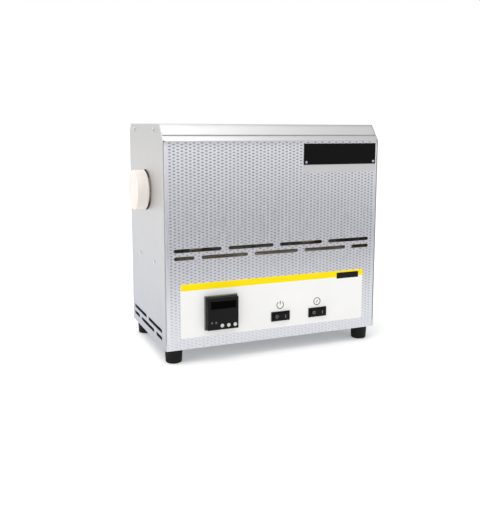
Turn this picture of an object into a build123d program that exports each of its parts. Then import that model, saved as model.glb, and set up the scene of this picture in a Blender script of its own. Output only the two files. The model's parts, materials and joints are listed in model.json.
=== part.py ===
from build123d import *
import os

# Bench-top tube furnace. Millimetres. The origin is on the bench under the middle of the furnace,
# +X to the operator's right, +Y to the back, +Z up. Pieces are drawn about the middle of the casing,
# and each is moved by casing_shift as it is written, because the front carries more than the back.

# Casing. Its depth and height follow from the insulation inside and the spaces round it.
width = 350.0
wiring_tall = 130.5
shell_lift = 21.7
shell_headroom = 24.3
shell_side_gap = 24.0
sheet = 1.2
inner_bend = 0.4
seam = 0.5
front_run = 19.2
front_drop = 23.9
rear_run = 11.2
rear_drop = 13.6
front_strip = 9.9
front_return = 6.0
rear_return = 8.0
panel_flange = 12.0
relief = 3.0
tray_lip = 8.0
cover_flange = 18.0
cover_end_radius = 0.9
fit = 0.3

# Air slots in the front, rear and side panels
slot_tall = 5.5
slot_pitch = 11.2
front_slot = 72.5
front_slot_gap = 10.9
front_slot_margin = 12.0
front_slot_up = 10.4
side_slot = 78.2
side_slot_gap = 12.2
side_slot_margin = 14.0
side_slot_up = 19.5
side_slot_y = 4.5

# Fasteners. head_rounding is the part of a head's height that its rounded rim takes up.
head_rounding = 0.7
cover_screw_d = 4.0
cover_screw_head_d = 7.0
cover_screw_head = 2.4
cover_screw_length = 8.0
cover_screw_front_inset = 30.0
cover_screw_rear_inset = 22.0
cover_screw_drop = 8.7
rivet_d = 3.2
rivet_head_d = 6.0
rivet_head = 1.2
rivet_spread = 85.0
rivet_drop = 8.0

# Feet
foot_height = 21.5
foot_top_d = 26.5
foot_bottom_d = 24.0
foot_edge = 2.0
foot_inset_x = 16.5
foot_inset_y = 17.0
foot_bore_d = 5.5
foot_pocket_d = 11.5
foot_pocket = 12.0
foot_screw_d = 5.0
foot_screw_head_d = 9.5
foot_screw_head = 3.5
nut_across = 8.0
nut_tall = 4.0
thread_end = 2.0

# Shelf between the heating chamber and the wiring space
shelf_flange = 16.0

# Work tube, heating coil and fibre plugs
tube_od = 36.0
tube_id = 28.0
tube_length = 360.0
heated_length = 200.0
coil_turns = 16
coil_thick = 1.2
coil_wide = 3.2
coil_gap = 0.3
lead_d = 2.4
panel_hole_d = 61.5
plug_d = 60.0
plug_proud = 20.0
plug_stand_off = 1.8
plug_edge = 1.5
plug_recess_gap = 0.8
plug_stem_gap = 0.5
plug_stem = 60.0
plug_taper = 3.0

# Insulation and what carries it
shell_d = 150.0
shell_gap = 1.5
collar_thick = 12.0
collar_inset = 14.3
collar_fit = 0.2
cradle_gap = 13.0
cradle_wide = 120.0
cradle_sheet = 1.5
cradle_foot = 20.0
cradle_screw_d = 4.0
cradle_screw_y = 46.0
cradle_screw_length = 6.0
band_x = 62.0
band_wide = 15.0
band_thick = 1.0
band_ear = 9.0
band_ear_gap = 3.0
band_screw_d = 4.0
band_screw_head_d = 6.0
band_screw_head = 2.0

# Heater terminals and thermocouple
terminal_x = 24.0
terminal_y = 18.0
terminal_z = 17.0
terminal_step = 6.8
terminal_post = 16.0
terminal_screw_d = 2.5
terminal_screw_head_d = 5.0
terminal_screw_head = 1.6
terminal_screw_length = 5.0
terminal_screw_z = 12.0
thermocouple_d = 3.0
thermocouple_tail = 16.0
gland_across = 12.0
gland_tall = 8.0
gland_thread_d = 8.0
gland_thread = 7.0
probe_head = 14.0

# Control panel foil, name plate and caption strip, all without text
foil_wide = 305.0
foil_tall = 81.0
foil_up = 57.1
foil_thick = 0.4
foil_corner = 3.0
plate_wide = 126.2
plate_tall = 32.0
plate_thick = 0.8
plate_inset = 4.8
plate_drop = 20.5
plate_rivet_d = 2.4
plate_rivet_head_d = 3.8
plate_rivet_head = 0.7
plate_rivet_inset = 4.0
caption_tall = 12.0
caption_thick = 0.3

# Temperature controller
controller_inset = 84.4
controller_up = 51.4
frame_size = 51.5
frame_thick = 3.0
bezel_size = 48.0
bezel_deep = 9.0
bezel_wall = 2.2
bezel_face = 2.0
bezel_edge = 1.2
case_size = 44.6
case_wall = 1.6
case_deep = 88.0
clamp_size = 54.0
clamp_thick = 8.0
window_wide = 39.4
window_tall = 11.5
window_z = 13.3
window_sunk = 0.3
window_gap = 0.1
board_thick = 1.6
key_d = 5.6
key_gap = 0.15
key_proud = 0.6
key_travel = 0.6
key_flange_d = 6.4
key_flange = 1.0
key_edge = 0.5
key_pitch = 10.2
key_first_x = -2.1
key_z = -17.7

# Rocker switches
switch_x = 7.0
switch_pitch = 64.0
switch_up = 34.6
switch_wide = 31.0
switch_tall = 14.6
switch_rim = 2.0
switch_edge = 0.6
switch_body_wide = 27.2
switch_body_tall = 12.4
switch_body_deep = 20.0
switch_open_wide = 24.8
switch_open_tall = 10.6
switch_cavity = 13.0
rocker_gap = 0.3
rocker_side_gap = 0.2
rocker_centre = 4.0
rocker_back = 5.0
rocker_half_travel = 8.0
pivot_deep = 3.0
pivot_d = 3.0
pivot_gap = 0.05
pivot_length = 0.8

# Mains inlet at the back
inlet_inset = 63.0
inlet_up = 40.5
inlet_flange_wide = 50.0
inlet_flange_tall = 24.0
inlet_flange = 3.0
inlet_corner = 6.0
inlet_body_wide = 28.0
inlet_body_tall = 20.0
inlet_body_deep = 24.0
socket_wide = 24.4
socket_tall = 16.4
socket_deep = 16.0
socket_cut = 5.0
pin_wide = 2.0
pin_tall = 4.0
pin_short = 3.0
pin_spread = 14.0
pin_earth_up = 3.5
inlet_screw_spread = 40.0
inlet_screw_d = 3.0
inlet_screw_head_d = 5.8
inlet_screw_length = 9.0

# Relay, terminal strip and earth stud in the wiring space
heatsink_x = 20.0
heatsink_wide = 80.0
heatsink_tall = 68.0
heatsink_foot = 26.0
heatsink_thick = 4.0
heatsink_bend = 5.0
relay_wide = 45.0
relay_tall = 58.0
relay_thick = 23.0
relay_edge = 2.0
relay_lift = 3.0
relay_notch = 11.6
rail_inset = 80.0
rail_from_back = 52.0
rail_length = 80.0
rail_wide = 35.0
rail_inner = 27.0
rail_tall = 7.5
rail_thick = 1.0
rail_bend = 1.3
block_count = 6
block_wide = 8.0
block_base = 36.0
block_top = 22.0
block_tall = 30.0
block_shoulder = 13.5
earth_inset = 28.0
earth_from_back = 45.0
earth_d = 5.0
earth_length = 18.0

# Derived places
depth = shell_d + 2 * shell_side_gap
base_z = foot_height
shelf_top = base_z + wiring_tall
tube_z = shelf_top + shell_lift + shell_d / 2
height = tube_z + shell_d / 2 + shell_headroom
bend = sheet + inner_bend
half_in = width / 2 - sheet
front_face = -depth / 2
rear_face = depth / 2
floor_z = base_z + sheet
front_bend_z = height - front_drop
rear_bend_z = height - rear_drop
tube_r = tube_od / 2
shell_r = shell_d / 2
coil_inner_r = tube_r + coil_gap
coil_outer_r = coil_inner_r + coil_thick
shell_bore_r = coil_outer_r + shell_gap
plug_inner_x = width / 2 + plug_stand_off
collar_outer_x = width / 2 - collar_inset
collar_inner_x = collar_outer_x - collar_thick
front_slot_z = shelf_top + front_slot_up
side_slot_z = base_z + side_slot_up
foil_z = base_z + foil_up
foil_face = front_face - foil_thick
frame_face = foil_face - frame_thick
bezel_front = frame_face - bezel_deep
rim_face = foil_face - switch_rim
pivot_y = rim_face + pivot_deep
controller_x = controller_inset - width / 2
controller_z = base_z + controller_up
switch_z = base_z + switch_up
switch_places = (switch_x, switch_x + switch_pitch)
key_places = [controller_x + key_first_x + key_pitch * i for i in range(3)]
cover_screw_ys = (
    front_face + front_run + cover_screw_front_inset,
    rear_face - rear_run - cover_screw_rear_inset,
)
cover_screw_z = height - cover_screw_drop
rivet_ys = (-rivet_spread / 2, rivet_spread / 2)
rivet_z = shelf_top - rivet_drop
foot_x = width / 2 - foot_inset_x
foot_y = depth / 2 - foot_inset_y
corners = [(x, y) for x in (-foot_x, foot_x) for y in (-foot_y, foot_y)]
lead_x = heated_length / 2
cradle_x = lead_x + terminal_x / 2 + cradle_gap
coil_pitch = heated_length / coil_turns
probe_x = coil_pitch * (coil_turns // 2 + 0.5) - heated_length / 2
plate_right = width / 2 - plate_inset
plate_x = plate_right - plate_wide / 2
plate_z = front_bend_z - plate_drop
plate_rivet_xs = (plate_right - plate_wide + plate_rivet_inset, plate_right - plate_rivet_inset)
plate_rivet_z = plate_z - plate_tall / 2 + plate_rivet_inset
inlet_x = inlet_inset - width / 2
inlet_z = base_z + inlet_up
rail_x = rail_inset - width / 2
rail_y = rear_face - rail_from_back
earth_x = earth_inset - width / 2
earth_y = rear_face - earth_from_back
front_reach = foil_thick + frame_thick + bezel_deep + key_proud
casing_shift = (front_reach - inlet_flange) / 2


def block(xs, ys, zs):
    """Box between two corners, with a (low, high) pair for each axis."""
    sizes = [high - low for low, high in (xs, ys, zs)]
    middle = [(high + low) / 2 for low, high in (xs, ys, zs)]
    return Pos(*middle) * Box(*sizes)


def rod(axis, start, end, radius, at):
    """Round bar along one axis from start to end, with its other two coordinates in X, Y, Z order."""
    planes = {"x": Plane.YZ, "y": Plane.ZX, "z": Plane.XY}
    spot = {"x": at, "y": (at[1], at[0]), "z": at}[axis]
    return extrude(planes[axis].offset(start) * Pos(*spot) * Circle(radius), amount=end - start)


def bent_sheet(points, side, thickness=sheet, radius=bend):
    """Section of a folded sheet. The points are its outer line, and the sheet lies on one side of it."""
    line = FilletPolyline(*points, radius=radius)
    return make_face(offset(line, amount=thickness, side=side).edges())


def slot_rows(span, length, gap):
    """Two staggered rows of round-ended slots, the lower one with a short slot at each end."""
    step = length + gap
    count = int((span + gap) // step)
    total = count * step - gap
    short = (length - gap) / 2
    upper = [(step * (i - (count - 1) / 2), length) for i in range(count)]
    lower = [(step * (i - (count - 2) / 2), length) for i in range(count - 1)]
    lower += [(side * (total - short) / 2, short) for side in (-1, 1)]
    rows = Sketch()
    for row_z, slots in ((slot_pitch / 2, upper), (-slot_pitch / 2, lower)):
        for centre, size in slots:
            rows += Pos(centre, row_z) * SlotOverall(size, slot_tall)
    return rows


def cut_through(plane, sketch):
    """Tool that cuts a sketch through one sheet, from well in front of it to well behind."""
    return extrude(plane * sketch, amount=3 * sheet, both=True)


front_plane = Plane.XZ.offset(-front_face)
rear_plane = Plane.XZ.offset(-rear_face)
front_slots = slot_rows(width - 2 * front_slot_margin, front_slot, front_slot_gap)
side_slots = slot_rows(depth - 2 * side_slot_margin, side_slot, side_slot_gap)


def casing_panel(profile, face, inward):
    """Front or rear sheet: folded along its top, with a flange down each side behind the side panels."""
    outer, inner = (Side.RIGHT, Side.LEFT) if inward > 0 else (Side.LEFT, Side.RIGHT)
    panel = extrude(Plane.YZ * bent_sheet(profile, outer), amount=half_in, both=True)
    low = base_z + tray_lip + relief
    high = profile[1][1] - relief / 2
    across = (half_in - bend, half_in + bend)
    column = block(across, (face - bend, face + bend), (low, high + relief))
    panel -= column + mirror(column, about=Plane.YZ)
    flange_y = face + inward * panel_flange
    plan = [(-half_in, flange_y), (-half_in, face), (half_in, face), (half_in, flange_y)]
    panel += extrude(Plane.XY.offset(low) * bent_sheet(plan, inner), amount=high - low)
    return panel


def front_panel():
    """Front sheet with its bevelled top strip, air slots, and openings for the controller and switches."""
    bevel = Vector(front_run, front_drop).normalized()
    inward = Vector(front_drop, -front_run).normalized()
    corner = Vector(front_face, front_bend_z)
    lip = corner + bevel * (front_strip - seam / 2)
    turned = lip + inward * front_return
    profile = [(front_face, base_z)] + [(point.X, point.Y) for point in (corner, lip, turned)]
    panel = casing_panel(profile, front_face, 1)
    panel -= cut_through(front_plane, Pos(0, front_slot_z) * front_slots)
    panel -= cut_through(front_plane, control_openings())
    for x in plate_rivet_xs:
        panel -= cut_through(front_plane, Pos(x, plate_rivet_z) * Circle(plate_rivet_d / 2))
    return panel


def control_openings():
    """Openings for the controller's case and the two switch bodies, shared by the panel and the foil."""
    openings = Pos(controller_x, controller_z) * Rectangle(case_size + 2 * fit, case_size + 2 * fit)
    for x in switch_places:
        openings += Pos(x, switch_z) * Rectangle(switch_body_wide + 2 * fit, switch_body_tall + 2 * fit)
    return openings


def rear_panel():
    """Rear sheet with the same air slots and the opening for the mains inlet."""
    top = rear_bend_z - seam
    profile = [(rear_face, base_z), (rear_face, top), (rear_face - rear_return, top)]
    panel = casing_panel(profile, rear_face, -1)
    panel -= cut_through(rear_plane, Pos(0, front_slot_z) * front_slots)
    inlet = Rectangle(inlet_body_wide + 2 * fit, inlet_body_tall + 2 * fit)
    for side in (-1, 1):
        inlet += Pos(side * inlet_screw_spread / 2, 0) * Circle(inlet_screw_d / 2 + fit)
    return panel - cut_through(rear_plane, Pos(inlet_x, inlet_z) * inlet)


def side_panel():
    """Left side plate: bevelled top corners, plug opening, air slots, screw and rivet holes."""
    outline = FilletPolyline(
        (front_face, base_z),
        (front_face, front_bend_z),
        (front_face + front_run, height),
        (rear_face - rear_run, height),
        (rear_face, rear_bend_z),
        (rear_face, base_z),
        radius=bend,
        close=True,
    )
    plate = extrude(Plane.YZ.offset(-width / 2) * make_face(outline), amount=sheet)
    holes = Pos(0, tube_z) * Circle(panel_hole_d / 2)
    holes += Pos(side_slot_y, side_slot_z) * side_slots
    for y in cover_screw_ys:
        holes += Pos(y, cover_screw_z) * Circle(cover_screw_d / 2 + fit)
    for y in rivet_ys:
        holes += Pos(y, rivet_z) * Circle(rivet_d / 2)
    return plate - cut_through(Plane.YZ.offset(-width / 2), holes)


def top_cover():
    """Cover between the side plates, turned down inside them at both ends and in at both seams."""
    bevel = Vector(front_run, front_drop).normalized()
    inward = Vector(front_drop, -front_run).normalized()
    lip = Vector(front_face, front_bend_z) + bevel * (front_strip + seam / 2)
    ridge = front_face + front_run
    back = rear_face - rear_run
    profile = [lip + inward * front_return, lip, (ridge, height), (back, height)]
    profile += [(rear_face, rear_bend_z), (rear_face - rear_return, rear_bend_z)]
    cover = extrude(Plane.YZ * bent_sheet(profile, Side.RIGHT), amount=half_in, both=True)
    ys = (ridge + bend, back - bend)
    end = block((-half_in, -half_in + sheet), ys, (height - cover_flange, height - sheet / 2))
    cover += end + mirror(end, about=Plane.YZ)
    top_ends = cover.edges().filter_by(Axis.Y).group_by(Axis.Z)[-1].sort_by(Axis.X)
    cover = fillet([top_ends[0], top_ends[-1]], radius=cover_end_radius)
    for y in cover_screw_ys:
        cover -= rod("x", -width / 2, width / 2, cover_screw_d / 2, (y, cover_screw_z))
    return cover


def base_tray():
    """Floor pan with a lip on all four sides, notched at its corners and drilled for the feet."""
    half_y = depth / 2 - sheet
    pan = block((-half_in, half_in), (-half_y, half_y), (base_z, base_z + tray_lip))
    pan = fillet(pan.faces().sort_by(Axis.Z)[0].edges(), radius=bend)
    pan = offset(pan, amount=-sheet, openings=pan.faces().sort_by(Axis.Z)[-1])
    for x in (-half_in, half_in):
        for y in (-half_y, half_y):
            notch_top = base_z + 2 * tray_lip
            pan -= block((x - relief, x + relief), (y - relief, y + relief), (floor_z, notch_top))
    for x, y in corners:
        pan -= rod("z", base_z - sheet, floor_z + sheet, foot_bore_d / 2, (x, y))
    pan -= rod("z", base_z - sheet, floor_z + sheet, earth_d / 2, (earth_x, earth_y))
    return pan


def shelf():
    """Partition with its two ends turned down and riveted to the side plates."""
    low = shelf_top - shelf_flange
    profile = [(-half_in, low), (-half_in, shelf_top), (half_in, shelf_top), (half_in, low)]
    half_y = depth / 2 - panel_flange - fit
    plate = extrude(Plane.XZ * bent_sheet(profile, Side.RIGHT), amount=half_y, both=True)
    for y in rivet_ys:
        plate -= rod("x", -width / 2, width / 2, rivet_d / 2, (y, rivet_z))
    drop = shelf_top - 3 * sheet
    plate -= rod("z", drop, shelf_top + sheet, gland_thread_d / 2, (probe_x, 0))
    for x in (-lead_x, lead_x):
        plate -= rod("z", drop, shelf_top + sheet, lead_d, (x, 0))
    screw_x = cradle_x + cradle_foot / 2
    for x in (-screw_x, screw_x):
        for y in (-cradle_screw_y, cradle_screw_y):
            plate -= rod("z", drop, shelf_top + sheet, cradle_screw_d / 2, (x, y))
    return plate


def pan_screw(diameter, head_d, head, length):
    """Screw along +Z with its head's seat at Z = 0 and the round-edged head below it."""
    half = head_d / 2
    core = diameter / 2
    points = [(0, -head), (half, -head), (half, 0), (core, 0), (core, length), (0, length)]
    face = make_face(Polyline(*points, close=True))
    rim = face.vertices().sort_by(Axis.Y)[:2].sort_by(Axis.X)[-1]
    return revolve(Plane.XZ * fillet(rim, radius=head * head_rounding), axis=Axis.Z)


def foot():
    """Moulded rubber foot: slight taper, rounded lower edge, pocket for the screw's head."""
    profile = Polyline(
        (foot_bore_d / 2, foot_height),
        (foot_top_d / 2, foot_height),
        (foot_bottom_d / 2, 0),
        (foot_pocket_d / 2, 0),
        (foot_pocket_d / 2, foot_pocket),
        (foot_bore_d / 2, foot_pocket),
        close=True,
    )
    face = make_face(profile)
    rim = face.vertices().sort_by(Axis.Y)[:2].sort_by(Axis.X)[-1]
    return revolve(Plane.XZ * fillet(rim, radius=foot_edge), axis=Axis.Z)


def nut(across, tall, bore):
    """Hexagon nut standing on Z = 0."""
    hexagon = RegularPolygon(across / 2, 6, major_radius=False)
    return extrude(hexagon - Circle(bore / 2), amount=tall)


def work_tube():
    """Ceramic tube through the whole casing, open at both ends."""
    ring = Circle(tube_r) - Circle(tube_id / 2)
    return extrude(Plane.YZ * Pos(0, tube_z) * ring, amount=tube_length / 2, both=True)


def heating_coil():
    """Resistance ribbon wound round the tube over its heated length, both ends underneath."""
    path = Helix(pitch=coil_pitch, height=heated_length, radius=coil_inner_r + coil_thick / 2)
    section = Plane(origin=path @ 0, x_dir=(1, 0, 0), z_dir=path % 0) * Rectangle(coil_thick, coil_wide)
    coil = sweep(section, path=path, is_frenet=True)
    return Pos(-heated_length / 2, 0, tube_z) * Rot(0, 90, 0) * coil


def heater_leads():
    """Two straight leads from the ends of the coil down to the terminals."""
    top = tube_z - coil_outer_r
    return [rod("z", shelf_top + terminal_z, top, lead_d / 2, (x, 0)) for x in (-lead_x, lead_x)]


def insulation_half(upper):
    """Half shell of ceramic fibre round the coil."""
    ring = Circle(shell_r) - Circle(shell_bore_r)
    keep = Pos(0, shell_r / 2 if upper else -shell_r / 2) * Rectangle(2 * shell_r, shell_r)
    half = extrude(Plane.YZ * Pos(0, tube_z) * (ring & keep), amount=collar_inner_x, both=True)
    if not upper:
        low = tube_z - shell_r
        for x in (-lead_x, lead_x):
            half -= rod("z", low - fit, tube_z, lead_d / 2 + fit, (x, 0))
        half -= rod("z", low - fit, tube_z, thermocouple_d / 2 + fit, (probe_x, 0))
    return half


def end_collar():
    """Left fibre board disc that carries one end of the tube and closes the insulation."""
    ring = Circle(shell_r) - Circle(tube_r + collar_fit)
    return extrude(Plane.YZ.offset(-collar_outer_x) * Pos(0, tube_z) * ring, amount=collar_thick)


def cradle():
    """Left saddle: upright plate with a round seat for the insulation, and a foot on the shelf."""
    seat_r = shell_r + collar_fit
    rise = tube_z - (seat_r**2 - (cradle_wide / 2) ** 2) ** 0.5 - shelf_top
    upright = Pos(0, shelf_top + rise / 2) * Rectangle(cradle_wide, rise) - Pos(0, tube_z) * Circle(seat_r)
    window = Pos(0, shelf_top) * Circle((tube_z - seat_r - shelf_top) / 2)
    plate = extrude(Plane.YZ.offset(-cradle_x) * (upright - window), amount=cradle_sheet)
    outer_x = -cradle_x - cradle_foot
    top = shelf_top + cradle_sheet
    tongue = block((outer_x, -cradle_x), (-cradle_wide / 2, cradle_wide / 2), (shelf_top, top))
    for y in (-cradle_screw_y, cradle_screw_y):
        tongue -= rod("z", shelf_top, top, cradle_screw_d / 2, (outer_x + cradle_foot / 2, y))
    return plate + tongue


def cradle_screws():
    """Screws that hold the cradles to the shelf."""
    core = cradle_screw_d - 2 * collar_fit
    screw = Rot(180, 0, 0) * pan_screw(core, 2 * cradle_screw_d, cradle_screw_d / 2, cradle_screw_length)
    x = cradle_x + cradle_foot / 2
    return [
        Pos(side * x, y, shelf_top + cradle_sheet) * screw
        for side in (-1, 1)
        for y in (-cradle_screw_y, cradle_screw_y)
    ]


def band():
    """Left clamping band round both halves of the insulation, with two ears at the back for its screw."""
    inner_r = shell_r + collar_fit
    outer_r = inner_r + band_thick
    ring = Circle(outer_r) - Circle(inner_r)
    ring -= Pos(outer_r, 0) * Rectangle(4 * band_thick, band_ear_gap)
    for side in (-1, 1):
        middle = side * (band_ear_gap + band_thick) / 2
        reach = band_ear + band_thick
        ring += Pos(inner_r + reach / 2, middle) * Rectangle(reach, band_thick)
    solid = extrude(Plane.YZ.offset(-band_x) * Pos(0, tube_z) * ring, amount=band_wide / 2, both=True)
    solid -= rod("z", 0, 2 * tube_z, band_screw_d / 2, (-band_x, outer_r + band_ear / 2))
    return solid


def band_screw():
    """Screw that draws the ears of the left band together."""
    y = shell_r + collar_fit + band_thick + band_ear / 2
    seat = tube_z - band_ear_gap / 2 - band_thick
    length = band_ear_gap + 2 * band_thick + 2 * thread_end
    core = band_screw_d - 2 * collar_fit
    return Pos(-band_x, y, seat) * pan_screw(core, band_screw_head_d, band_screw_head, length)


def heater_terminal():
    """Ceramic post under one lead, stepped, with a hole for its clamping screw."""
    foot = terminal_x / 2
    post = terminal_post / 2
    left = [(-foot, 0), (-foot, terminal_step), (-post, terminal_step), (-post, terminal_z)]
    profile = Polyline(*left, *[(-x, z) for x, z in reversed(left)], close=True)
    body = extrude(Plane.XZ * make_face(profile), amount=terminal_y / 2, both=True)
    hole_end = terminal_screw_length + fit - terminal_y / 2
    bore_r = terminal_screw_d / 2 + collar_fit
    return body - rod("y", -terminal_y / 2, hole_end, bore_r, (0, terminal_screw_z))


def heater_terminals():
    """One post under each end of the coil."""
    return [Pos(x, 0, shelf_top) * heater_terminal() for x in (-lead_x, lead_x)]


def terminal_screws():
    """Clamping screws in the front faces of the heater terminals."""
    screw = pan_screw(terminal_screw_d, terminal_screw_head_d, terminal_screw_head, terminal_screw_length)
    spot = Pos(0, -terminal_y / 2, shelf_top + terminal_screw_z) * Rot(-90, 0, 0)
    return [Pos(x, 0, 0) * spot * screw for x in (-lead_x, lead_x)]


def thermocouple():
    """Sheathed probe from beside the tube wall down through the insulation and the shelf."""
    top = tube_z - tube_r - coil_gap
    return rod("z", shelf_top - thermocouple_tail, top, thermocouple_d / 2, (probe_x, 0))


def thermocouple_gland():
    """Hexagon gland that holds the probe in the shelf."""
    hexagon = nut(gland_across, gland_tall, thermocouple_d + 2 * collar_fit)
    neck = Circle(gland_thread_d / 2 - collar_fit) - Circle(thermocouple_d / 2 + collar_fit)
    return Pos(probe_x, 0, shelf_top) * (hexagon + extrude(neck, amount=-gland_thread))


def thermocouple_head():
    """Ceramic connection head at the lower end of the probe."""
    top = shelf_top - thermocouple_tail
    half = probe_head / 2
    head = block((probe_x - half, probe_x + half), (-half, half), (top - probe_head, top))
    return fillet(head.edges().filter_by(Axis.Z), radius=half / 4)


def plug():
    """Left fibre plug: a round head over the tube's end, and a stem that fills the mouth of the bore."""
    face = width / 2 + plug_proud
    seat = tube_length / 2 + plug_recess_gap
    recess_r = tube_r + plug_recess_gap
    stem_r = tube_id / 2 - plug_stem_gap
    tip = seat - plug_stem
    profile = Polyline(
        (-face, 0),
        (-face, plug_d / 2),
        (-plug_inner_x, plug_d / 2),
        (-plug_inner_x, recess_r),
        (-seat, recess_r),
        (-seat, stem_r),
        (-tip - plug_taper, stem_r),
        (-tip, stem_r - plug_taper / 2),
        (-tip, 0),
        close=True,
    )
    face_sketch = make_face(profile)
    outer = face_sketch.vertices().sort_by(Axis.Y)[-2:]
    solid = revolve(Plane.XZ * fillet(outer, radius=plug_edge), axis=Axis.X)
    return Pos(0, 0, tube_z) * solid


def control_foil():
    """Thin printed foil over the lower front, cut out for the controller and the switches."""
    outline = Pos(0, foil_z) * RectangleRounded(foil_wide, foil_tall, foil_corner)
    return extrude(front_plane * (outline - control_openings()), amount=foil_thick)


def name_plate():
    """Bare black plate at the upper right, with a hole for each rivet."""
    plate = Pos(plate_x, plate_z) * Rectangle(plate_wide, plate_tall)
    for x in plate_rivet_xs:
        plate -= Pos(x, plate_rivet_z) * Circle(plate_rivet_d / 2)
    return extrude(front_plane * plate, amount=plate_thick)


def caption_strip():
    """Bare pale strip under the plate."""
    strip = Pos(plate_x, plate_z - (plate_tall + caption_tall) / 2) * Rectangle(plate_wide, caption_tall)
    return extrude(front_plane * strip, amount=caption_thick)


def plate_rivets():
    """Two small rivets through the lower corners of the plate."""
    length = plate_thick + 2 * sheet
    rivet = Rot(-90, 0, 0) * pan_screw(plate_rivet_d, plate_rivet_head_d, plate_rivet_head, length)
    return [Pos(x, front_face - plate_thick, plate_rivet_z) * rivet for x in plate_rivet_xs]


def square_ring(outer, inner, thick):
    """Square frame standing on the XZ plane, thick towards +Y."""
    return extrude(Plane.XZ * (Rectangle(outer, outer) - Rectangle(inner, inner)), amount=-thick)


def controller_spot(y, x=controller_x, z=controller_z):
    """Place on the controller's axis at depth y."""
    return Pos(x, y, z)


def controller_frame():
    """Flat frame between the foil and the bezel."""
    frame = square_ring(frame_size, case_size + 2 * fit, frame_thick)
    frame = chamfer(frame.faces().sort_by(Axis.Y)[0].outer_wire().edges(), length=frame_thick / 3)
    return controller_spot(frame_face) * frame


def key_sketch(radius):
    """One circle for each of the three keys, about the controller's axis."""
    circles = Sketch()
    for x in key_places:
        circles += Pos(x - controller_x, key_z) * Circle(radius)
    return circles


def controller_bezel():
    """Moulded bezel, hollow behind, with the display opening and three round key holes."""
    body = block((-bezel_size / 2, bezel_size / 2), (0, bezel_deep), (-bezel_size / 2, bezel_size / 2))
    body = chamfer(body.faces().sort_by(Axis.Y)[0].edges(), length=bezel_edge)
    hollow = bezel_size / 2 - bezel_wall
    body -= block((-hollow, hollow), (bezel_face, bezel_deep), (-hollow, hollow))
    openings = Pos(0, window_z) * Rectangle(window_wide, window_tall) + key_sketch(key_d / 2 + key_gap)
    body -= extrude(Plane.XZ * openings, amount=-bezel_face)
    return controller_spot(bezel_front) * body


def controller_window():
    """Dark display window set into the bezel."""
    pane = Pos(0, window_z) * Rectangle(window_wide - 2 * window_gap, window_tall - 2 * window_gap)
    thick = bezel_face - window_sunk
    return controller_spot(bezel_front + window_sunk) * extrude(Plane.XZ * pane, amount=-thick)


def controller_board():
    """Circuit board behind the keys."""
    size = bezel_size - 2 * bezel_wall - 2 * fit
    front = bezel_front + bezel_face + key_flange + key_travel + 2 * fit
    return controller_spot(front) * extrude(Plane.XZ * Rectangle(size, size), amount=-board_thick)


def controller_case():
    """Case behind the panel, open to the bezel and closed at the back."""
    case = square_ring(case_size, case_size - 2 * case_wall, case_deep)
    back_plane = Plane.XZ.offset(case_wall - case_deep)
    back = extrude(back_plane * Rectangle(case_size, case_size), amount=-case_wall)
    return controller_spot(frame_face) * (case + back)


def controller_clamp():
    """Collar behind the front panel that pulls the controller against it."""
    collar = square_ring(clamp_size, case_size + 2 * fit, clamp_thick)
    return controller_spot(front_face + sheet) * collar


def controller_key(x):
    """Round key with a wider flange that keeps it behind the bezel."""
    stem = key_proud + bezel_face + fit
    cap = extrude(Plane.XZ * Circle(key_d / 2), amount=-stem)
    cap = fillet(cap.edges().sort_by(Axis.Y)[0], radius=key_edge)
    flange = extrude(Plane.XZ.offset(-stem) * Circle(key_flange_d / 2), amount=-key_flange)
    return controller_spot(bezel_front - key_proud, x, controller_z + key_z) * (cap + flange)


def switch_body(x):
    """Switch housing: rounded rim on the foil, body through the panel, cavity with two bearings."""
    rim = block((-switch_wide / 2, switch_wide / 2), (0, switch_rim), (-switch_tall / 2, switch_tall / 2))
    rim = fillet(rim.faces().sort_by(Axis.Y)[0].edges(), radius=switch_edge)
    half_x = switch_body_wide / 2
    half_z = switch_body_tall / 2
    body = rim + block((-half_x, half_x), (switch_rim, switch_rim + switch_body_deep), (-half_z, half_z))
    cavity = RectangleRounded(switch_open_wide, switch_open_tall, switch_edge)
    body -= extrude(Plane.XZ * cavity, amount=-(switch_rim + switch_cavity))
    body -= rod("z", -half_z, half_z, pivot_d / 2 + pivot_gap, (0, pivot_deep))
    return Pos(x, rim_face, switch_z) * body


def switch_rocker(x):
    """Rocker in its off position: two shallow faces that meet in a valley, and two pivot pins."""
    end_r = switch_open_wide / 2 - rocker_gap
    rise = end_r * Vector(1, 0).rotate(Axis.Z, rocker_half_travel).Y
    outline = Polyline(
        (-end_r, -rocker_centre - rise),
        (0, -rocker_centre),
        (end_r, -rocker_centre - rise),
        (end_r, rocker_back / 4),
        (end_r / 3, rocker_back),
        (-end_r / 3, rocker_back),
        (-end_r, rocker_back / 4),
        close=True,
    )
    half_z = switch_open_tall / 2 - rocker_side_gap
    body = extrude(Plane.XY * (make_face(outline) & Circle(end_r)), amount=half_z, both=True)
    pins = half_z + pivot_length
    body += rod("z", -pins, pins, pivot_d / 2, (0, 0))
    return Pos(x, pivot_y, switch_z) * Rot(0, 0, -rocker_half_travel) * body


def socket_outline():
    """Outline of the inlet's socket, with its two lower corners cut."""
    half_x = socket_wide / 2
    half_z = socket_tall / 2
    right = [(half_x, half_z), (half_x, socket_cut - half_z), (half_x - socket_cut, -half_z)]
    points = right + [(-x, z) for x, z in reversed(right)]
    return make_face(Polyline(*points, close=True))


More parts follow.
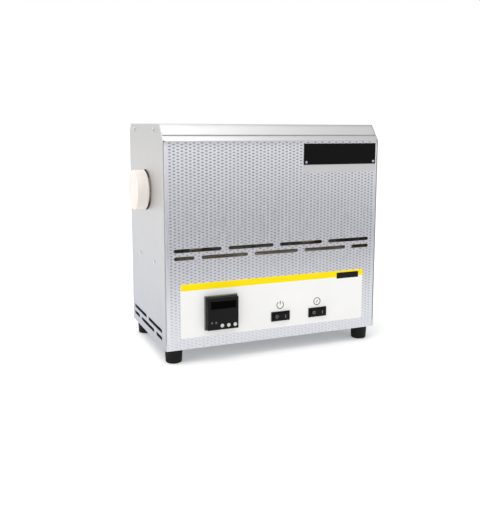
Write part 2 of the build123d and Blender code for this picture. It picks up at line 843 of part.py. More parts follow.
def mains_inlet():
    """Appliance inlet on the rear panel: screwed flange outside, body inside, open socket."""
    flange = RectangleRounded(inlet_flange_wide, inlet_flange_tall, inlet_corner)
    body = extrude(Plane.XZ.offset(-inlet_flange) * flange, amount=inlet_flange)
    body += extrude(Plane.XZ * Rectangle(inlet_body_wide, inlet_body_tall), amount=inlet_body_deep)
    body -= extrude(Plane.XZ.offset(-inlet_flange) * socket_outline(), amount=socket_deep)
    for side in (-1, 1):
        hole = Pos(side * inlet_screw_spread / 2, inlet_flange, 0) * Rot(90, 0, 0)
        core = inlet_screw_d / 2 + fit
        body -= hole * CounterSinkHole(core, inlet_screw_head_d / 2 + fit, inlet_flange, 90)
    return Pos(inlet_x, rear_face, inlet_z) * body


def inlet_pins():
    """Three contact pins standing in the socket."""
    floor_y = rear_face + inlet_flange - socket_deep
    ys = (floor_y, rear_face + inlet_flange - pin_short)
    pins = []
    for x, z in ((-pin_spread / 2, 0), (0, pin_earth_up), (pin_spread / 2, 0)):
        xs = (inlet_x + x - pin_wide / 2, inlet_x + x + pin_wide / 2)
        pins.append(block(xs, ys, (inlet_z + z - pin_tall / 2, inlet_z + z + pin_tall / 2)))
    return pins


def inlet_screws():
    """Countersunk screws that hold the inlet to the rear panel."""
    half = inlet_screw_head_d / 2
    core = inlet_screw_d / 2
    end = -inlet_screw_length
    profile = Polyline((0, 0), (half, 0), (core, core - half), (core, end), (0, end), close=True)
    screw = Rot(-90, 0, 0) * revolve(Plane.XZ * make_face(profile), axis=Axis.Z)
    y = rear_face + inlet_flange
    return [Pos(inlet_x + side * inlet_screw_spread / 2, y, inlet_z) * screw for side in (-1, 1)]


def relay_heatsink():
    """Angle of thick aluminium that carries the relay on the floor pan."""
    back = heatsink_foot
    profile = [(0, floor_z), (back, floor_z), (back, floor_z + heatsink_tall)]
    section = bent_sheet(profile, Side.LEFT, heatsink_thick, heatsink_bend)
    return Pos(heatsink_x, 0, 0) * extrude(Plane.YZ * section, amount=heatsink_wide / 2, both=True)


def solid_state_relay():
    """Relay block on the front of the angle, with its terminal recess at each end."""
    back = heatsink_foot - heatsink_thick
    low = floor_z + heatsink_thick + relay_lift
    half = relay_wide / 2
    body = block((-half, half), (back - relay_thick, back), (low, low + relay_tall))
    body = fillet(body.faces().sort_by(Axis.Y)[0].edges(), radius=relay_edge)
    notch = block((-half, half), (back - relay_thick, back - relay_thick / 2), (low, low + relay_notch))
    body -= notch + Pos(0, 0, relay_tall - relay_notch) * notch
    return Pos(heatsink_x, 0, 0) * body


def din_rail():
    """Top-hat rail on the floor pan."""
    half = rail_wide / 2
    inner = rail_inner / 2
    left = [(-half, rail_tall), (-inner, rail_tall), (-inner, 0)]
    points = left + [(-y, z) for y, z in reversed(left)]
    section = bent_sheet(points, Side.LEFT, rail_thick, rail_bend)
    return Pos(rail_x, rail_y, floor_z) * extrude(Plane.YZ * section, amount=rail_length / 2, both=True)


def terminal_blocks():
    """Row of feed-through terminal blocks on the rail."""
    low = floor_z + rail_tall
    profile = Polyline(
        (-block_base / 2, 0),
        (-block_base / 2, block_shoulder),
        (-block_top / 2, block_tall),
        (block_top / 2, block_tall),
        (block_base / 2, block_shoulder),
        (block_base / 2, 0),
        close=True,
    )
    one = extrude(Plane.YZ * make_face(profile), amount=block_wide - collar_fit)
    first = rail_x - block_count * block_wide / 2
    return [Pos(first + i * block_wide, rail_y, low + rail_thick) * one for i in range(block_count)]


def earth_stud():
    """Threaded stud through the floor pan with a nut on it."""
    stud = rod("z", base_z, base_z + earth_length, earth_d / 2 - collar_fit, (earth_x, earth_y))
    return [stud, Pos(earth_x, earth_y, floor_z) * nut(nut_across, nut_tall, earth_d)]


def foot_screws():
    """Screws from below, with their heads inside the feet."""
    length = foot_height - foot_pocket + sheet + nut_tall + thread_end
    screw = pan_screw(foot_screw_d, foot_screw_head_d, foot_screw_head, length)
    return [Pos(x, y, foot_pocket) * screw for x, y in corners]


def foot_nuts():
    """Nuts on the floor pan over the feet."""
    return [Pos(x, y, floor_z) * nut(nut_across, nut_tall, foot_bore_d) for x, y in corners]


def side_fasteners(piece, ys, z):
    """The same fastener in both side plates, heads outside."""
    left = [Pos(-width / 2, y, z) * Rot(0, 90, 0) * piece for y in ys]
    return left + [mirror(item, about=Plane.YZ) for item in left]


nodes = {
    "base_tray": base_tray(),
    "front_panel": front_panel(),
    "rear_panel": rear_panel(),
    "side_panel_left": side_panel(),
    "side_panel_right": mirror(side_panel(), about=Plane.YZ),
    "top_cover": top_cover(),
    "shelf": shelf(),
    "cover_screws": side_fasteners(
        pan_screw(cover_screw_d - 2 * collar_fit, cover_screw_head_d, cover_screw_head, cover_screw_length),
        cover_screw_ys,
        cover_screw_z,
    ),
    "side_rivets": side_fasteners(
        pan_screw(rivet_d, rivet_head_d, rivet_head, 3 * sheet), rivet_ys, rivet_z
    ),
    "foot_screws": foot_screws(),
    "foot_nuts": foot_nuts(),
    "work_tube": work_tube(),
    "heating_coil": heating_coil(),
    "heater_leads": heater_leads(),
    "insulation_upper": insulation_half(True),
    "insulation_lower": insulation_half(False),
    "end_collar_left": end_collar(),
    "end_collar_right": mirror(end_collar(), about=Plane.YZ),
    "cradle_left": cradle(),
    "cradle_right": mirror(cradle(), about=Plane.YZ),
    "cradle_screws": cradle_screws(),
    "insulation_bands": [band(), mirror(band(), about=Plane.YZ)],
    "band_screws": [band_screw(), mirror(band_screw(), about=Plane.YZ)],
    "heater_terminals": heater_terminals(),
    "terminal_screws": terminal_screws(),
    "thermocouple": thermocouple(),
    "thermocouple_gland": thermocouple_gland(),
    "thermocouple_head": thermocouple_head(),
    "plug_left": plug(),
    "plug_right": mirror(plug(), about=Plane.YZ),
    "control_foil": control_foil(),
    "name_plate": name_plate(),
    "caption_strip": caption_strip(),
    "plate_rivets": plate_rivets(),
    "controller_frame": controller_frame(),
    "controller_bezel": controller_bezel(),
    "controller_window": controller_window(),
    "controller_board": controller_board(),
    "controller_case": controller_case(),
    "controller_clamp": controller_clamp(),
    "mains_inlet": mains_inlet(),
    "inlet_pins": inlet_pins(),
    "inlet_screws": inlet_screws(),
    "relay_heatsink": relay_heatsink(),
    "solid_state_relay": solid_state_relay(),
    "din_rail": din_rail(),
    "terminal_blocks": terminal_blocks(),
    "earth_stud": earth_stud(),
}
for (x, y), name in zip(corners, ("front_left", "rear_left", "front_right", "rear_right")):
    nodes["foot_" + name] = Pos(x, y, 0) * foot()
for number, x in enumerate(key_places, start=1):
    nodes[f"controller_key_{number}"] = controller_key(x)
for name, x in zip(("power", "heat"), switch_places):
    nodes[name + "_switch_body"] = switch_body(x)
    nodes[name + "_rocker"] = switch_rocker(x)

os.makedirs("parts", exist_ok=True)
for name, shape in nodes.items():
    pieces = shape if isinstance(shape, list) else [shape]
    solids = [solid for piece in pieces for solid in (Pos(0, casing_shift, 0) * piece).solids()]
    export_step(Compound(solids) if len(solids) > 1 else solids[0], f"parts/{name}.step")
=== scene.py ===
import json
import math

import bmesh
import bpy
from mathutils import Matrix, Vector
from mathutils.bvhtree import BVHTree


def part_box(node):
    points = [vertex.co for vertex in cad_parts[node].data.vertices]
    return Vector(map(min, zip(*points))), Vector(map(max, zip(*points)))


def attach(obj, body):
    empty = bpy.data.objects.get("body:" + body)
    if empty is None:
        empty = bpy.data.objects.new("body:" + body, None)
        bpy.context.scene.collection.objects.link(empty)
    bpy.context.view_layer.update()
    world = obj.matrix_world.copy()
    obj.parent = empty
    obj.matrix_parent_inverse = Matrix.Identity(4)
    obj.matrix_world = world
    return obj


MM = 0.001
ROOT = "furnace"
WHITE = (1, 1, 1, 1)

# Camera, solved from the casing's corners and edges
FRAME_PIXELS = (480, 507)
FOCAL_PIXELS = 697.34
AXIS_PIXEL = (262.84, 229.91)
SENSOR = 36.0
CLIP_START = 0.01
CAMERA_YAW = math.radians(23.715)
CAMERA_PITCH = math.radians(8.572)
CAMERA_ROLL = math.radians(0.319)
CAMERA_FROM_CASING = Vector((-0.43801, -1.04353, 0.34725))

# Surroundings' light, eased between two strengths as a ray's direction turns to +X or to +Z
LIGHT_ACROSS = {"From_Min": -0.1, "From_Max": 0.75, "To_Min": 1.02, "To_Max": 0.5}
LIGHT_OVERHEAD = {"From_Min": 0.3, "From_Max": 0.95, "To_Min": 0.95, "To_Max": 1.35}

# Lamps, in metres and watts; the chamber's lamp is placed by its height and its distance behind the front
SOFT_BOX_PLACE = (-0.4, -0.2, 2.4)
SOFT_BOX_SIZE = (2.0, 2.0)
SOFT_BOX_POWER = 14.0
CHAMBER_BEHIND = 0.03
CHAMBER_HEIGHT = 0.30
CHAMBER_SIZE = (0.30, 0.02)
CHAMBER_POWER = 0.18
CHAMBER_COLOR = (1, 0.92, 0.76)

# Papers of the stage: left, right, front, back and height, in metres, and their tones
FLOOR = (-30, 30, -30, 30, 0)
FLOOR_TONES = (0.925, 0.94)
FLOOR_GLOW = 0.2
CARD = (-0.9, 1.4, -2.6, -0.66, 0.002)
CARD_TONES = (0.20, 0.22)
PAPER_ROUGHNESS = 0.9

# Stretch of the rolled grain's noise: it runs along the axis with the small number
GRAIN_UP = (1, 1, 0.05)
GRAIN_UP_LONG = (1, 1, 0.04)
GRAIN_ACROSS = (0.04, 1, 1)

# Span that most of a noise texture's values lie in
NOISE_SPAN = {"From_Min": 0.3, "From_Max": 0.7}

# Painted light on the steel sheets: colour by height above the bench, in metres, standing in for
# reflections, highlights and shade
# Front sheet: painted reflection, dull grey low down, brightening to a near-white painted highlight just
# below the top bend, then darker again on the bend
FRONT_PAINTED_LIGHT = (
    (0.02, (0.65, 0.66, 0.70)),
    (0.12, (0.64, 0.65, 0.69)),
    (0.315, (0.92, 0.93, 0.99)),
    (0.326, (0.66, 0.65, 0.665)),
)
# Top cover: painted light, the sloping bevel painted lighter and the flat top darker
COVER_PAINTED_LIGHT = (
    (0.344, (0.69, 0.685, 0.69)),
    (0.3475, (0.50, 0.50, 0.505)),
)
# Side, rear and base sheets: painted reflection, darker and bluer toward the foot
SIDE_PAINTED_LIGHT = (
    (0.03, (0.43, 0.447, 0.489)),
    (0.25, (0.575, 0.57, 0.565)),
)
# Embossed dashes: painted shade, much darker than the sheet to stand for the shade on their flanks, with
# painted reflection lightening them toward the foot
DASH_PAINTED_LIGHT = (
    (0.04, (0.56, 0.565, 0.60)),
    (0.14, (0.33, 0.335, 0.36)),
)

# Embossed dashes of the front sheet, in millimetres
DASH_COLUMN = 6.02
DASH_ROW = 4.58
DASH_LONG = 4.2
DASH_TALL = 2.0
DASH_RISE = 0.2
DASH_SIDES = 10
DASH_FLAT_WITHIN = 0.02

# Rings of a dash, as shares of its reach and of its rise
DASH_RINGS = ((1.0, 0.0), (0.72, 0.75))

# Probe that finds a surface from the operator's side, in metres
PROBE_START = 0.1
PROBE_REACH = 0.2

# Prints on the foil, in millimetres; places are (across, above the bench), the patch is (left, bottom,
# right, top), and the power bar's heights are over its mark's centre
BAND_LOW = 108.7
BAND_EDGE = 0.4
PATCH = (104.9, 106.4, 144.4, 116.0)
POWER_MARK = (6.6, 73.4)
POWER_ARC_DEGREES = (125, 415)
POWER_BAR_HEIGHTS = (1.0, 7.0)
HEAT_MARK = (70.4, 73.2)
HEAT_BAR_HALF = (1.4, 1.6)
RING_RADIUS = 5.6
RING_STEPS = 36
ARC_STEPS = 28
LINE_WIDE = 1.25

# How far a print stands out of the surface under it and reaches into it, in millimetres
BAND_RISE = 0.03
PATCH_RISE = 0.06
LINE_RISE = 0.04
ROCKER_RISE = 0.05
PRINT_SUNK = 0.02

# Marks on the rockers, in millimetres; the reach is a share of the rocker's width
ROCKER_REACH = 0.28
ROCKER_RING_RADIUS = 2.0
ROCKER_RING_STEPS = 20
ROCKER_RING_WIDE = 0.7
ROCKER_BAR_HALF = 2.4
ROCKER_BAR_WIDE = 0.8

# Lamps of the controller, in millimetres
LAMPS = ((-108.6, 60.4), (-102.0, 60.2))
LAMP_RADIUS = 1.6
LAMP_FLATTENING = 0.25
LAMP_SEGMENTS = 20
LAMP_RINGS = 10

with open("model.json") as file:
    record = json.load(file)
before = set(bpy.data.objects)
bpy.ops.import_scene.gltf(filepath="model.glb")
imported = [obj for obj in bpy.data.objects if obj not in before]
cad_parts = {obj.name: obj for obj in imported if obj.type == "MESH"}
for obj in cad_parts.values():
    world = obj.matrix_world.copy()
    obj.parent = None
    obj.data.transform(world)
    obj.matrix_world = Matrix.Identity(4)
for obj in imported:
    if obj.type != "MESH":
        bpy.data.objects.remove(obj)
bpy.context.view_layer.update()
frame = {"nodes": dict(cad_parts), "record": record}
nodes = frame["nodes"]


def corners(name):
    """Lowest and highest corner of a node, as vectors."""
    low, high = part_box(name)
    return Vector(low), Vector(high)


side_low, side_high = corners("side_panel_left")
CASING_Y = (side_low.y + side_high.y) / 2
FRONT_Y = side_low.y


def new_piece(name, mesh, material, body=ROOT):
    """Links a mesh as a piece that rides on a body."""
    obj = bpy.data.objects.new(name, mesh)
    bpy.context.scene.collection.objects.link(obj)
    mesh.materials.append(materials[material])
    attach(obj, body)


def mesh_from(name, vertices, faces):
    """Mesh from vertices and faces, with its normals pointing out."""
    mesh = bpy.data.meshes.new(name)
    mesh.from_pydata([tuple(v) for v in vertices], [], faces)
    tidy = bmesh.new()
    tidy.from_mesh(mesh)
    bmesh.ops.recalc_face_normals(tidy, faces=tidy.faces)
    tidy.to_mesh(mesh)
    tidy.free()
    return mesh


def rectangle(name, left, right, front, back, height):
    """Level sheet of no thickness."""
    spots = ((left, front), (right, front), (right, back), (left, back))
    return mesh_from(name, [(x, y, height) for x, y in spots], [(0, 1, 2, 3)])


def smooth(mesh):
    """Sets all faces to smooth shading."""
    mesh.polygons.foreach_set("use_smooth", [True] * len(mesh.polygons))


def add_node(tree, kind, **inputs):
    """A shader node with some of its inputs set; an underscore stands for a space."""
    made = tree.nodes.new(kind)
    for key, value in inputs.items():
        made.inputs[key.replace("_", " ")].default_value = value
    return made


class Shader:
    """A node material, built up in a few short calls."""

    def __init__(self, name, color, roughness, metallic=0.0, **sockets):
        self.material = bpy.data.materials.new(name)
        self.material.use_nodes = True
        self.tree = self.material.node_tree
        self.surface = self.tree.nodes["Principled BSDF"]
        self.set("Base Color", (*color, 1.0))
        self.set("Roughness", roughness)
        self.set("Metallic", metallic)
        for socket, value in sockets.items():
            self.set(socket.replace("_", " "), value)
        self.place = self.node("ShaderNodeTexCoord").outputs["Object"]

    def set(self, socket, value):
        """Value of one of the surface's own sockets."""
        self.surface.inputs[socket].default_value = value

    def node(self, kind, **inputs):
        """New node in the material's tree."""
        return add_node(self.tree, kind, **inputs)

    def link(self, output, target):
        """Link between two nodes of the tree."""
        self.tree.links.new(output, target)

    def drive(self, socket, output):
        """Link from a node to one of the surface's own sockets."""
        self.link(output, self.surface.inputs[socket])

    def noise(self, scale, detail=2.0, stretch=(1, 1, 1)):
        """Noise texture over the object's coordinates, scaled along each axis by the stretch."""
        mapping = self.node("ShaderNodeMapping", Scale=stretch)
        self.link(self.place, mapping.inputs["Vector"])
        made = self.node("ShaderNodeTexNoise", Scale=scale, Detail=detail)
        self.link(mapping.outputs["Vector"], made.inputs["Vector"])
        return made.outputs["Fac"]

    def ramp_color(self, factor, stops):
        """Base colour that runs through stops, each a value of the factor and a colour."""
        made = self.node("ShaderNodeValToRGB")
        marks = made.color_ramp.elements
        while len(marks) < len(stops):
            marks.new(1.0)
        for mark, (position, color) in zip(marks, stops):
            mark.position = position
            mark.color = (*color, 1.0)
        self.link(factor, made.inputs["Fac"])
        self.drive("Base Color", made.outputs["Color"])

    def vary_color(self, factor, low, high, start=0.35, end=0.65):
        """Base colour that runs from low to high as the factor goes from start to end."""
        self.ramp_color(factor, ((start, low), (end, high)))

    def paint_light_by_height(self, stops):
        """Base colour by the height above the bench, as painted light; stops are pairs of metres and
        colour.
        """
        axes = self.node("ShaderNodeSeparateXYZ")
        self.link(self.place, axes.inputs["Vector"])
        self.ramp_color(axes.outputs["Z"], stops)

    def vary_roughness(self, factor, low, high):
        """Roughness that runs from low to high over the span of a noise."""
        made = self.node("ShaderNodeMapRange", **NOISE_SPAN, To_Min=low, To_Max=high)
        self.link(factor, made.inputs["Value"])
        self.drive("Roughness", made.outputs["Result"])

    def bump(self, factor, strength, distance):
        """Fine relief; the distance is in metres."""
        made = self.node("ShaderNodeBump", Strength=strength, Distance=distance)
        self.link(factor, made.inputs["Height"])
        self.drive("Normal", made.outputs["Normal"])


def near(color, amount):
    """The same colour, lighter or darker by a share."""
    return tuple(max(0.0, min(1.0, c * (1 + amount))) for c in color)


def sheet_steel(name, color, roughness, grain, stops=None):
    """Sheet metal with a fine rolled grain, with painted reflection and shade by height where stops are
    given.
    """
    s = Shader(name, color, roughness, metallic=1.0)
    lines = s.noise(scale=900.0, detail=3.0, stretch=grain)
    s.vary_roughness(lines, low=roughness - 0.06, high=roughness + 0.06)
    if stops:
        s.paint_light_by_height(stops)
    else:
        s.vary_color(s.noise(scale=9.0, detail=3.0), low=near(color, -0.03), high=near(color, 0.03))
    s.bump(lines, strength=0.08, distance=0.00005)
    return s.material


def painted_dash_steel(name, color, roughness, stops):
    """Embossed dashes of the front sheet, with painted shade and painted reflection in their colour by
    height.
    """
    s = Shader(name, color, roughness, metallic=1.0)
    s.paint_light_by_height(stops)
    s.vary_roughness(s.noise(scale=900.0), low=0.3, high=0.38)
    return s.material


def moulded_plastic(name, color, roughness, grain=1600.0, strength=0.12, specular=0.5):
    """Moulded plastic or rubber with a finely grained surface."""
    s = Shader(name, color, roughness, Specular_IOR_Level=specular)
    s.vary_color(s.noise(scale=30.0), low=near(color, -0.1), high=near(color, 0.1))
    s.vary_roughness(s.noise(scale=60.0), low=roughness - 0.05, high=roughness + 0.05)
    s.bump(s.noise(scale=grain), strength, distance=0.0001)
    return s.material


def fibre_board(name, color):
    """Ceramic fibre or bare ceramic: matt, faintly mottled, with a felted surface."""
    s = Shader(name, color, roughness=0.95)
    s.vary_color(s.noise(scale=45.0, detail=4.0), low=near(color, -0.05), high=near(color, 0.02))
    s.bump(s.noise(scale=700.0, detail=5.0), strength=0.35, distance=0.0004)
    return s.material


def printed(name, color, roughness=0.42, specular=0.5):
    """Print, film, glaze or other smooth skin, almost even, with a faint drift in its gloss."""
    s = Shader(name, color, roughness, Specular_IOR_Level=specular)
    s.vary_color(s.noise(scale=12.0), low=near(color, -0.015), high=near(color, 0.015))
    s.vary_roughness(s.noise(scale=25.0), low=roughness - 0.04, high=roughness + 0.04)
    s.bump(s.noise(scale=1200.0), strength=0.05, distance=0.00005)
    return s.material


def turned_metal(name, color, roughness=0.3):
    """Metal of fasteners, contacts and the heating ribbon, a little uneven in tone and gloss."""
    s = Shader(name, color, roughness, metallic=1.0)
    s.vary_roughness(s.noise(scale=400.0, detail=3.0), low=roughness - 0.08, high=roughness + 0.1)
    s.vary_color(s.noise(scale=150.0), low=near(color, -0.08), high=near(color, 0.05))
    return s.material


def stained_steel(name, color, stain):
    """Inner sheet, discoloured by heat in soft patches."""
    s = Shader(name, color, roughness=0.45, metallic=0.8)
    s.vary_color(s.noise(scale=14.0, detail=4.0), low=stain, high=color, start=0.4, end=0.62)
    s.vary_roughness(s.noise(scale=40.0, detail=3.0), low=0.38, high=0.6)
    return s.material


def paper(name, tones):
    """Matt paper whose tone drifts between two greys."""
    low, high = ((tone, tone, tone) for tone in tones)
    s = Shader(name, low, PAPER_ROUGHNESS)
    s.vary_color(s.noise(scale=2.0), low, high)
    return s


# Each material's maker, with the arguments that follow the material's name
LOOKS = {
    # Front sheet, its colour set by the painted reflection and highlight by height
    "textured_steel": (sheet_steel, (0.80, 0.81, 0.85), 0.32, GRAIN_UP, FRONT_PAINTED_LIGHT),
    # Steel of the dashes, painted darker than the sheet as the shade on their flanks
    "dash_steel": (painted_dash_steel, (0.33, 0.335, 0.36), 0.34, DASH_PAINTED_LIGHT),
    # Smooth sheets of the casing, coloured by the painted reflection by height
    "smooth_steel": (sheet_steel, (0.57, 0.57, 0.565), 0.42, GRAIN_UP_LONG, SIDE_PAINTED_LIGHT),
    # Copy of the sheet steel for the top cover, coloured by painted light by height
    "cover_steel": (sheet_steel, (0.69, 0.685, 0.69), 0.40, GRAIN_ACROSS, COVER_PAINTED_LIGHT),
    "inner_steel": (stained_steel, (0.55, 0.54, 0.50), (0.30, 0.24, 0.17)),
    "fasteners": (turned_metal, (0.62, 0.62, 0.63)),
    "foot_rubber": (moulded_plastic, (0.008, 0.008, 0.009), 0.6, 900.0, 0.2, 0.15),
    "tube_ceramic": (fibre_board, (0.84, 0.80, 0.70)),
    "terminal_ceramic": (printed, (0.86, 0.83, 0.75), 0.35),
    "heating_alloy": (turned_metal, (0.22, 0.19, 0.17), 0.55),
    "fibre": (fibre_board, (0.85, 0.785, 0.74)),
    "foil": (printed, (0.84, 0.835, 0.82)),
    "plate": (printed, (0.004, 0.004, 0.004), 0.45, 0.08),
    "strip": (printed, (0.50, 0.50, 0.51)),
    "black_plastic": (moulded_plastic, (0.005, 0.005, 0.005), 0.45, 1600.0, 0.12, 0.13),
    # Controller frame: a grey copy of the black plastic, a painted highlight for its lit edge
    "frame_plastic": (moulded_plastic, (0.10, 0.10, 0.095), 0.35),
    "window": (printed, (0.001, 0.0006, 0.0006), 0.35, 0.02),
    "board": (printed, (0.02, 0.11, 0.05)),
    "keys": (moulded_plastic, (0.52, 0.53, 0.55), 0.4),
    "contacts": (turned_metal, (0.72, 0.66, 0.48), 0.22),
    "heatsink": (sheet_steel, (0.70, 0.70, 0.70), 0.4, GRAIN_UP),
    "relay": (moulded_plastic, (0.03, 0.03, 0.032), 0.4),
    "terminal_plastic": (moulded_plastic, (0.35, 0.35, 0.32), 0.5),
    "yellow_print": (printed, (0.93, 0.72, 0.0), 0.5, 0.12),
    "black_print": (printed, (0.006, 0.006, 0.006), 0.45, 0.15),
    "grey_print": (printed, (0.06, 0.06, 0.06)),
    "pale_print": (printed, (0.22, 0.22, 0.23)),
    "lamp_lens": (printed, (0.10, 0.10, 0.10), 0.3),
}
materials = {name: maker(name, *values) for name, (maker, *values) in LOOKS.items()}


def dress_nodes():
    """Gives every CAD node the material of its slot; the top cover and the controller's frame get copies
    that carry painted light instead.
    """
    own = {"top_cover": "cover_steel", "controller_frame": "frame_plastic"}
    slots = {entry["node"]: entry["material_slot"] for entry in frame["record"]["subparts"]}
    for name, obj in nodes.items():
        obj.data.materials.clear()
        obj.data.materials.append(materials[own.get(name, slots[name])])


def place_camera():
    """The photograph's viewpoint."""
    data = bpy.data.cameras.new("camera")
    data.sensor_width = SENSOR
    data.lens = SENSOR * FOCAL_PIXELS / max(FRAME_PIXELS)
    data.shift_x = (FRAME_PIXELS[0] / 2 - AXIS_PIXEL[0]) / max(FRAME_PIXELS)
    data.shift_y = (AXIS_PIXEL[1] - FRAME_PIXELS[1] / 2) / max(FRAME_PIXELS)
    data.clip_start = CLIP_START
    camera = bpy.data.objects.new("camera", data)
    bpy.context.scene.collection.objects.link(camera)
    forward = Vector((
        math.sin(CAMERA_YAW) * math.cos(CAMERA_PITCH),
        math.cos(CAMERA_YAW) * math.cos(CAMERA_PITCH),
        -math.sin(CAMERA_PITCH),
    ))
    right = forward.cross(Vector((0, 0, 1))).normalized()
    up = right.cross(forward)
    turned_right = right * math.cos(CAMERA_ROLL) + up * math.sin(CAMERA_ROLL)
    turned_up = up * math.cos(CAMERA_ROLL) - right * math.sin(CAMERA_ROLL)
    turn = Matrix((turned_right, turned_up, -forward)).transposed()
    camera.matrix_world = Matrix.Translation(CAMERA_FROM_CASING + Vector((0, CASING_Y, 0))) @ turn.to_4x4()
    bpy.context.scene.camera = camera


def area_light(name, place, target, size, power, color=(1, 1, 1)):
    """Rectangular lamp that faces its target."""
    data = bpy.data.lights.new(name, "AREA")
    data.shape = "RECTANGLE"
    data.size, data.size_y = size
    data.energy = power
    data.color = color
    light = bpy.data.objects.new(name, data)
    bpy.context.scene.collection.objects.link(light)
    light.location = place
    light.rotation_euler = (Vector(target) - Vector(place)).to_track_quat("-Z", "Y").to_euler()


def light_world():
    """Surroundings that look white and light the part less from the right and more from above."""
    world = bpy.data.worlds.new("studio")
    bpy.context.scene.world = world
    world.use_nodes = True
    tree = world.node_tree
    link = tree.links.new

    def eased(source, ends):
        made = add_node(tree, "ShaderNodeMapRange", **ends)
        made.interpolation_type = "SMOOTHSTEP"
        link(source, made.inputs["Value"])
        return made.outputs["Result"]

    direction = add_node(tree, "ShaderNodeSeparateXYZ")
    link(add_node(tree, "ShaderNodeTexCoord").outputs["Generated"], direction.inputs["Vector"])
    shade = add_node(tree, "ShaderNodeMath")
    shade.operation = "MULTIPLY"
    link(eased(direction.outputs["X"], LIGHT_ACROSS), shade.inputs[0])
    link(eased(direction.outputs["Z"], LIGHT_OVERHEAD), shade.inputs[1])
    strength = add_node(tree, "ShaderNodeMix", B=1.0)
    link(shade.outputs["Value"], strength.inputs["A"])
    link(add_node(tree, "ShaderNodeLightPath").outputs["Is Camera Ray"], strength.inputs["Factor"])
    sky = tree.nodes["Background"]
    sky.inputs["Color"].default_value = WHITE
    link(strength.outputs["Result"], sky.inputs["Strength"])


def lay(mesh, look):
    """Lays a sheet of paper as part of the stage."""
    mesh.materials.append(look.material)
    obj = bpy.data.objects.new(mesh.name, mesh)
    bpy.context.scene.collection.objects.link(obj)
    return obj


def light_studio():
    """White floor and surroundings, a soft box overhead, and a dim warm lamp behind the air slots."""
    bpy.context.scene.view_settings.view_transform = "Standard"
    light_world()
    area_light("soft_box", SOFT_BOX_PLACE, (0, 0, 0), SOFT_BOX_SIZE, SOFT_BOX_POWER)
    floor_paper = paper("floor_paper", FLOOR_TONES)
    floor_paper.set("Emission Color", WHITE)
    floor_paper.set("Emission Strength", FLOOR_GLOW)
    lay(rectangle("floor", *FLOOR), floor_paper)
    # Grey card before the furnace, seen only as a reflection in the steel
    card = lay(rectangle("card", *CARD), paper("card_paper", CARD_TONES))
    card.visible_camera = False
    card.visible_diffuse = False
    card.visible_shadow = False
    area_light("chamber", (0, FRONT_Y + CHAMBER_BEHIND, CHAMBER_HEIGHT), (0, FRONT_Y + CHAMBER_BEHIND, 0),
               CHAMBER_SIZE, CHAMBER_POWER, CHAMBER_COLOR)


def node_tree(name):
    """Search tree over a node's mesh, in the part's frame."""
    obj = nodes[name]
    points = [obj.matrix_world @ v.co for v in obj.data.vertices]
    return BVHTree.FromPolygons(points, [tuple(p.vertices) for p in obj.data.polygons])


def front_of(tree, x, z):
    """Where a line from the operator's side first meets a tree, as its y, or None."""
    start = Vector((x * MM, FRONT_Y - PROBE_START, z * MM))
    hit = tree.ray_cast(start, Vector((0, 1, 0)), PROBE_REACH)[0]
    return hit.y if hit else None


def add_dash(points, faces, x, z):
    """Adds one low domed dash, centred on a place of the front sheet."""
    first = len(points)
    for reach, rise in DASH_RINGS:
        for k in range(DASH_SIDES):
            angle = 2 * math.pi * k / DASH_SIDES
            across = x + DASH_LONG / 2 * reach * math.cos(angle)
            above = z + DASH_TALL / 2 * reach * math.sin(angle)
            points.append(Vector((across, 0, above)) * MM + Vector((0, FRONT_Y - DASH_RISE * rise * MM, 0)))
    top = len(points)
    points.append(Vector((x * MM, FRONT_Y - DASH_RISE * MM, z * MM)))
    for k in range(DASH_SIDES):
        after = (k + 1) % DASH_SIDES
        outer = (first + k, first + after)
        inner = (first + DASH_SIDES + k, first + DASH_SIDES + after)
        faces.append((outer[0], outer[1], inner[1], inner[0]))
        faces.append((inner[0], inner[1], top))


def emboss_front():
    """Raised dashes over the front sheet, clear of its slots, edges and fittings."""
    sheet = node_tree("front_panel")
    low, high = corners("front_panel")
    covers = [corners(name) for name in ("control_foil", "name_plate", "caption_strip")]
    half_long, half_tall = DASH_LONG / 2, DASH_TALL / 2

    def flat(x, z):
        for dx, dz in ((0, 0), (-half_long, 0), (half_long, 0), (0, -half_tall), (0, half_tall)):
            y = front_of(sheet, x + dx, z + dz)
            if y is None or abs(y - FRONT_Y) > DASH_FLAT_WITHIN * MM:
                return False
        return True

    def covered(x, z):
        return any(
            first.x / MM + half_long < x < last.x / MM - half_long
            and first.z / MM + half_tall < z < last.z / MM - half_tall
            for first, last in covers
        )

    points, faces = [], []
    columns = int((high.x - low.x) / MM / DASH_COLUMN)
    rows = int((high.z - low.z) / MM / DASH_ROW) + 1
    for column in range(columns + 1):
        x = (column - columns / 2) * DASH_COLUMN
        for row in range(rows):
            z = low.z / MM + (row + (column % 2) / 2) * DASH_ROW
            if flat(x, z) and not covered(x, z):
                add_dash(points, faces, x, z)
    mesh = bpy.data.meshes.new("front_emboss")
    mesh.from_pydata([tuple(p) for p in points], [], faces)
    smooth(mesh)
    # The dashes carry painted shade and painted reflection in their colour
    new_piece("front_emboss", mesh, "dash_steel")


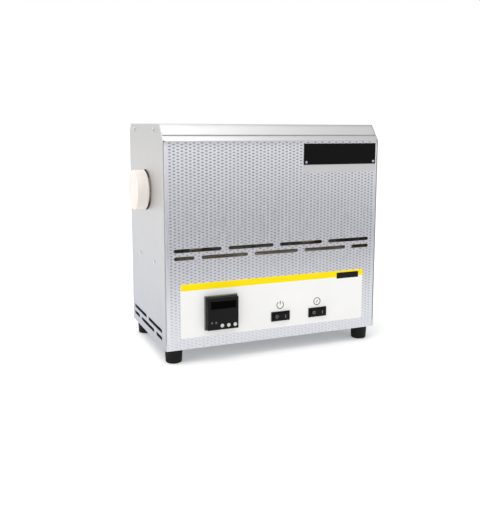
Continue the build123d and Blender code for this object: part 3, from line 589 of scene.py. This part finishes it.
def ribbon(name, path, wide, surface, rise, closed=False):
    """Flat printed line along a path of (x, z) places, just proud of the surface under it."""
    count = len(path)
    points, faces = [], []
    for i, (x, z) in enumerate(path):
        before = path[i - 1] if i or closed else path[0]
        after = path[(i + 1) % count] if i < count - 1 or closed else path[-1]
        along = Vector((after[0] - before[0], after[1] - before[1])).normalized()
        side = Vector((-along.y, along.x)) * wide / 2
        for sign in (1, -1):
            px, pz = x + sign * side.x, z + sign * side.y
            y = surface(px, pz)
            points.append((px * MM, y - rise * MM, pz * MM))
            points.append((px * MM, y + PRINT_SUNK * MM, pz * MM))
    for i in range(count if closed else count - 1):
        a, b = 4 * i, 4 * ((i + 1) % count)
        for p, q in ((0, 2), (2, 3), (3, 1), (1, 0)):
            faces.append((a + p, a + q, b + q, b + p))
    if not closed:
        last = 4 * (count - 1)
        faces += [(0, 1, 3, 2), (last, last + 2, last + 3, last + 1)]
    return mesh_from(name, points, faces)


def arc(centre, radius, start, end, steps):
    """Places along an arc; angles in degrees from the right, counter-clockwise."""
    made = []
    for k in range(steps + 1):
        angle = math.radians(start + (end - start) * k / steps)
        made.append((centre[0] + radius * math.cos(angle), centre[1] + radius * math.sin(angle)))
    return made


def circle(centre, radius, steps):
    """Places round a whole circle, the first one not repeated."""
    return arc(centre, radius, 0, 360, steps)[:-1]


def print_foil():
    """Yellow band, bare black patch and switch symbols."""
    low, high = corners("control_foil")

    def print_line(name, path, wide, rise, material, closed=False):
        mesh = ribbon(name, path, wide, lambda x, z: low.y, rise, closed)
        new_piece(name, mesh, material)

    foil_top = high.z / MM
    band_z = (BAND_LOW + foil_top) / 2
    band = [(low.x / MM + BAND_EDGE, band_z), (high.x / MM - BAND_EDGE, band_z)]
    print_line("foil_band", band, foil_top - BAND_LOW - BAND_EDGE, BAND_RISE, "yellow_print")
    left, bottom, right, top = PATCH
    patch = [(left, (bottom + top) / 2), (right, (bottom + top) / 2)]
    print_line("foil_patch", patch, top - bottom, PATCH_RISE, "black_print")
    power_ring = arc(POWER_MARK, RING_RADIUS, *POWER_ARC_DEGREES, ARC_STEPS)
    power_bar = [(POWER_MARK[0], POWER_MARK[1] + above) for above in POWER_BAR_HEIGHTS]
    heat_bar = [
        (HEAT_MARK[0] + sign * HEAT_BAR_HALF[0], HEAT_MARK[1] + sign * HEAT_BAR_HALF[1]) for sign in (-1, 1)
    ]
    heat_ring = circle(HEAT_MARK, RING_RADIUS, RING_STEPS)
    print_line("power_ring", power_ring, LINE_WIDE, LINE_RISE, "grey_print")
    print_line("power_bar", power_bar, LINE_WIDE, LINE_RISE, "grey_print")
    print_line("heat_bar", heat_bar, LINE_WIDE, LINE_RISE, "grey_print")
    print_line("heat_ring", heat_ring, LINE_WIDE, LINE_RISE, "grey_print", closed=True)


def mark_rockers():
    """A ring on the left and a bar on the right of each rocker, following its face."""
    for rocker in ("power_rocker", "heat_rocker"):
        tree = node_tree(rocker)
        low, high = corners(rocker)
        middle = (low + high) / (2 * MM)
        reach = (high.x - low.x) / MM * ROCKER_REACH
        ring = circle((middle.x - reach, middle.z), ROCKER_RING_RADIUS, ROCKER_RING_STEPS)
        bar = [(middle.x + reach, middle.z + sign * ROCKER_BAR_HALF) for sign in (-1, 1)]
        for mark, path, wide, closed in (
            ("_ring", ring, ROCKER_RING_WIDE, True),
            ("_bar", bar, ROCKER_BAR_WIDE, False),
        ):
            name = rocker + mark
            mesh = ribbon(name, path, wide, lambda x, z: front_of(tree, x, z), ROCKER_RISE, closed)
            new_piece(name, mesh, "pale_print", rocker)


def fit_lamps():
    """Two small lamp lenses on the controller's face."""
    bezel = node_tree("controller_bezel")
    for number, (x, z) in enumerate(LAMPS, 1):
        face = front_of(bezel, x, z)
        name = f"lamp_{number}"
        dome = bmesh.new()
        bmesh.ops.create_uvsphere(
            dome, u_segments=LAMP_SEGMENTS, v_segments=LAMP_RINGS, radius=LAMP_RADIUS * MM)
        bmesh.ops.scale(dome, vec=(1, LAMP_FLATTENING, 1), verts=dome.verts)
        bmesh.ops.translate(dome, vec=(x * MM, face, z * MM), verts=dome.verts)
        mesh = bpy.data.meshes.new(name)
        dome.to_mesh(mesh)
        dome.free()
        smooth(mesh)
        new_piece(name, mesh, "lamp_lens")


place_camera()
light_studio()
dress_nodes()
emboss_front()
print_foil()
mark_rockers()
fit_lamps()
